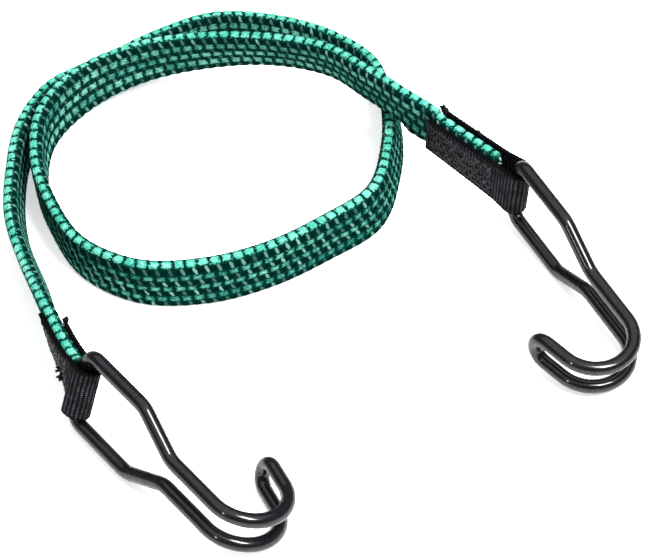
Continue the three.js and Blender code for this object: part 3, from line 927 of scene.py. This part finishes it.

# %% [markdown]
# ## The finish of the webbing
# Black polypropylene webbing is matte. Its rib crests are painted a little lighter, a painted highlight,
# and on each rib the warp yarns show as a row of grey dashes of painted sheen, set off by half a yarn
# from the next rib. The strip's own UV map was made while it was flat: U counts ribs and V counts yarns,
# so the dashes follow the fold.

# %% webbing finish
webbing_finish, start, inputs = finish("ribbed_webbing", {"Specular IOR Level": 0.03})
uv = start.node("ShaderNodeUVMap", {"uv_map": "UVMap"})
lint, patchy = grain(start, 900.0, 3.0), grain(start, 260.0)
along = start.node("ShaderNodeSeparateXYZ", (), {0: uv}, output="X") + 0.3 * (patchy - 0.5)
lane = start.node("ShaderNodeSeparateXYZ", (), {0: uv}, output="Y") + 0.4 * (lint - 0.5)
crest = abs(along % 1 - 0.5).fade(0.1, 0.42, 1.0, 0.0)
flat = abs(lane - YARNS_ACROSS / 2).fade(YARNS_ACROSS / 2 - 1.2, YARNS_ACROSS / 2 - 0.5, 1.0, 0.0)
dash = abs((lane + 0.5 * (along.floor() % 2)) % 1 - 0.5).fade(0.12, 0.34, 1.0, 0.0)
# painted sheen: grey dashes on the rib crests, varied in patches; the crests themselves are painted a
# little lighter, a painted highlight
dash_sheen = crest * dash * flat * patchy.fade(0.36, 0.66, 0.3, 1.0)
ribbed = (crest * (0.3 + 0.5 * flat) + 0.4 * (lint - 0.5)).tint(colour(3, 3, 4), colour(17, 16, 19))
feed(start, inputs, {
    "Base Color": dash_sheen.tint(ribbed, colour(78, 76, 82)),
    "Roughness": lint.fade(0.2, 0.8, 0.7, 0.95),
    "Normal": bumped(start, 0.7, 0.0003, crest + 0.5 * dash + 0.6 * lint),
})
for strip, _ in strips:
    strip.data.materials.append(webbing_finish)
print("webbing finish")

# %% [markdown]
# ## The stitching
# Each leg is sewn down with many short zigzag stitches of black thread. One stitch is modelled from a
# cylinder: its ends are drawn in and pressed down, as where the thread goes through the cloth. Copies
# of it follow a zigzag on the outside of each leg.

# %% stitches
STITCH_LENGTH, STITCH_RADIUS = 1.0, 0.26
STITCH_ROWS = 6
STITCH_MARGIN = 1.6
ZIGZAG_STEP = 1.15
STITCH_TAPER, STITCH_SINK, STITCH_LIFT = 0.55, 0.45, 0.12
STITCH_STRAY = (0.3, 0.55)
STITCH_SEED = {"left": 7, "right": 17}
THREAD_GAP = 0.1
SEAM_START, SEAM_STOP = 0.5, 1.2


def stitch_shape():
    """Points and faces of one stitch of unit length along x, lying on the plane z = 0."""
    select_none()
    bpy.ops.mesh.primitive_cylinder_add(vertices=6, radius=STITCH_RADIUS, depth=STITCH_LENGTH,
                                        rotation=(0, math.pi / 2, 0))
    model = bpy.context.object
    bpy.ops.object.transform_apply(location=True, rotation=True, scale=True)
    bpy.ops.object.mode_set(mode="EDIT")
    for cut in (-0.3, 0.0, 0.3):
        bpy.ops.mesh.select_all(action="SELECT")
        bpy.ops.mesh.bisect(plane_co=(cut, 0, 0), plane_no=(1, 0, 0))
    bpy.ops.object.mode_set(mode="OBJECT")
    for vertex in model.data.vertices:
        away = abs(vertex.co.x) / (STITCH_LENGTH / 2)
        drawn_in = 1 - STITCH_TAPER * away ** 3
        vertex.co.y *= drawn_in
        vertex.co.z = vertex.co.z * drawn_in - STITCH_SINK * away ** 2 + STITCH_LIFT
    points = np.array([v.co[:] for v in model.data.vertices])
    faces = [list(face.vertices) for face in model.data.polygons]
    bpy.data.objects.remove(model)
    return points, faces


STITCH_POINTS, STITCH_FACES = stitch_shape()


def stitch_piece(end, name, face):
    """The stitches on one leg: rows of zigzag that run along the webbing, side by side."""
    noise = np.random.default_rng(STITCH_SEED[end["side"]] + face)
    reach = WEBBING_WIDTH / 2 - STITCH_MARGIN
    lanes = np.linspace(-reach, reach, STITCH_ROWS + 1)
    begin, finish_at = end["setback"] + SEAM_START, end["legs"][0 if face > 0 else 1] - SEAM_STOP
    count = int((finish_at - begin) / ZIGZAG_STEP)
    points, faces, first = [], [], 0
    for row in range(STITCH_ROWS):
        edge = lanes[row:row + 2]
        step = np.arange(count + 1)
        x = begin + step * ZIGZAG_STEP + noise.normal(0, STITCH_STRAY[0], count + 1)
        z = np.where(step % 2 == row % 2, edge[0], edge[1]) + noise.normal(0, STITCH_STRAY[1], count + 1)
        for k in range(count):
            a, b = np.array([x[k], z[k]]), np.array([x[k + 1], z[k + 1]])
            span = b - a
            way = span / np.linalg.norm(span)
            flat = STITCH_POINTS[:, 0:1] * np.linalg.norm(span) * way + (a + b) / 2
            flat = flat + STITCH_POINTS[:, 1:2] * np.array([-way[1], way[0]])
            lift = LEG_GAP + WEBBING_THICKNESS / 2 + THREAD_GAP + STITCH_POINTS[:, 2]
            points.append(np.stack([flat[:, 0], face * lift, flat[:, 1]], 1))
            faces += [[first + i for i in (f[::-1] if face > 0 else f)] for f in STITCH_FACES]
            first += len(STITCH_POINTS)
    place = in_room(end, warp(end, np.vstack(points)))
    piece = new_piece(f"{end['side']}_{name}_stitches", place, faces)
    piece.data.shade_smooth()
    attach(piece, f"{end['side']}_end")
    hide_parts(f"{end['side']}_{name}_thread")
    return piece


stitches = [stitch_piece(end, name, face)
            for end in (LEFT, RIGHT) for name, face in (("needle", 1), ("bobbin", -1))]
for piece in stitches:
    print(piece.name, len(piece.data.polygons), "faces")

# %% thread finish
thread_finish, start, inputs = finish("black_thread", {"Specular IOR Level": 0.2})
ply = grain(start, 700.0)
feed(start, inputs, {
    "Base Color": ply.fade(0.42, 0.68).tint(colour(5, 5, 7), colour(60, 58, 66)),
    "Roughness": ply.fade(0.2, 0.8, 0.35, 0.6),
})
for piece in stitches:
    piece.data.materials.append(thread_finish)
print("thread finish")

# %% [markdown]
# ## Loose yarn ends
# Webbing that is cut and hot-sealed by hand never ends cleanly: a few yarns stand out at the corners, and
# the sewing leaves knots and short tails. Each yarn end is one thin tube that tapers, and a tuft is a few
# of them that leave one spot and fan out. A seeded random generator makes the same tufts every time.

# %% loose yarn ends
YARN_STEPS, YARN_SIDES = 6, 6
YARN_FAN, YARN_CURL, YARN_STRAY, YARN_TAPER = 0.16, 0.2, 0.35, 0.6
FIRST_SEED = 40
TUFTS = {
    "left_webbing_fray": (LEFT, "webbing", [
        ((20.6, -LEG_GAP - 0.3, 8.2), (0.5, -0.8, 0.4), 10, 1.0, 0.6),
        ((20.8, -LEG_GAP, 7.0), (1.0, -0.5, 0.3), 8, 0.9, 0.55),
        ((26.2, LEG_GAP, 8.2), (1.0, 0.2, 0.4), 5, 0.7, 0.45),
    ]),
    "left_thread_tails": (LEFT, "thread", [
        ((11.0, LEG_GAP + 0.6, -1.0), (0.2, 1.0, -0.1), 6, 1.9, 0.46),
        ((8.8, LEG_GAP + 0.6, -2.4), (-0.1, 1.0, -0.4), 6, 1.7, 0.46),
    ]),
    "right_webbing_fray": (RIGHT, "webbing", [
        ((32.4, -LEG_GAP, 8.4), (0.5, 0.0, 1.0), 12, 2.6, 0.6),
        ((31.4, -LEG_GAP, 8.6), (0.2, 0.0, 1.0), 8, 1.5, 0.6),
        ((34.6, LEG_GAP, 8.0), (1.0, 0.1, 0.4), 6, 1.2, 0.4),
    ]),
    "right_thread_tails": (RIGHT, "thread", [
        ((18.2, -LEG_GAP, 8.8), (0.1, 0.0, 1.0), 7, 1.3, 0.5),
        ((13.4, -LEG_GAP, 8.8), (0.2, 0.0, 1.0), 5, 0.8, 0.4),
    ]),
    "right_band_fray": (RIGHT, "woven_jacket", [
        ((7.8, 0.2, 8.4), (-1.0, 0.2, 0.1), 2, 1.5, 0.24),
        ((7.8, 0.4, 6.0), (-1.0, 0.4, 0.2), 2, 1.5, 0.2),
    ]),
}


def tuft_lines(end, root, way, count, reach, radius, noise):
    lines = []
    share = np.linspace(0, 1, YARN_STEPS)[:, None]
    for _ in range(count):
        aim = unit(np.array(way) + noise.normal(0, YARN_FAN, 3))
        curl = noise.normal(0, YARN_CURL, 3)
        foot = np.array(root) + noise.normal(0, YARN_STRAY, 3) * (1, 0.5, 1)
        path = foot + noise.uniform(0.6, 1.0) * reach * (share * aim + share ** 2 * curl)
        path = in_room(end, warp(end, path))
        along = unit(np.gradient(path, axis=0))
        over = unit(np.cross(along, np.roll(along[:1], 1, 1)))
        thinning = radius * (1 - YARN_TAPER * share[:, 0] ** 3)
        lines.append((path, np.cross(over, along), over, thinning, YARN_SIDES))
    return lines


frays = {}
for number, (name, (end, slot, spots)) in enumerate(TUFTS.items()):
    noise = np.random.default_rng(FIRST_SEED + number)
    frays[name] = tubes(name, [line for spot in spots for line in tuft_lines(end, *spot, noise)])
    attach(frays[name], f"{end['side']}_end")
    print(name, len(frays[name].data.polygons), "faces")

# %% yarn finishes
fray_finish, start, inputs = finish("frayed_yarn", {"Specular IOR Level": 0.05})
lint = grain(start, 1400.0)
feed(start, inputs, {
    "Base Color": lint.tint(colour(3, 3, 4), colour(34, 33, 36)),
    "Roughness": lint.fade(0.2, 0.8, 0.7, 0.95),
})
pale_finish, start, inputs = finish("pale_yarn", {"Specular IOR Level": 0.1})
lint = grain(start, 1400.0)
feed(start, inputs, {
    "Base Color": lint.tint(colour(110, 160, 144), colour(178, 206, 196)),
    "Roughness": lint.fade(0.2, 0.8, 0.6, 0.9),
})
for name, fray in frays.items():
    fray.data.materials.append(pale_finish if name == "right_band_fray" else fray_finish)
print("finish on", len(frays), "frayed pieces")
